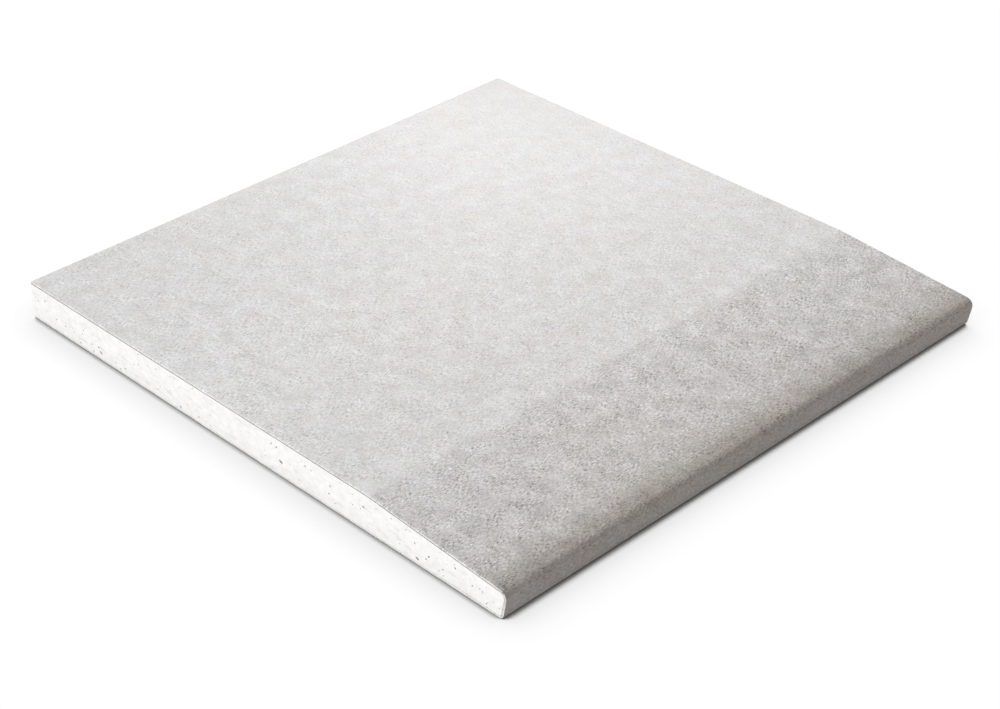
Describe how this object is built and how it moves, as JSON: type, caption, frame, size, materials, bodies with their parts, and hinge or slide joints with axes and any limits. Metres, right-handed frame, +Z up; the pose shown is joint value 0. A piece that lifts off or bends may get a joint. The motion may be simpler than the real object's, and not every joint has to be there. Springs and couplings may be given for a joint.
{
  "type": "drywall sheet",
  "caption": "Flat square-cut piece of gypsum wallboard: white core between grey papers, with one tapered long edge wrapped in the face paper.",
  "frame": {"origin": "centre of the footprint, at the level of the back paper's outer side, which lies on the floor", "axes": "+X across the board towards its wrapped edge, +Y along that edge, +Z up out of the face"},
  "size_m": [0.2, 0.195, 0.0125],
  "materials": {
    "gypsum": "matt white, sawn, with fine pinholes",
    "face_paper": "matt light grey recycled fibre",
    "back_paper": "matt grey-brown recycled fibre"
  },
  "bodies": {
    "root": {"gypsum_core": "gypsum", "face_paper": "face_paper", "back_paper": "back_paper"}
  },
  "joints": []
}
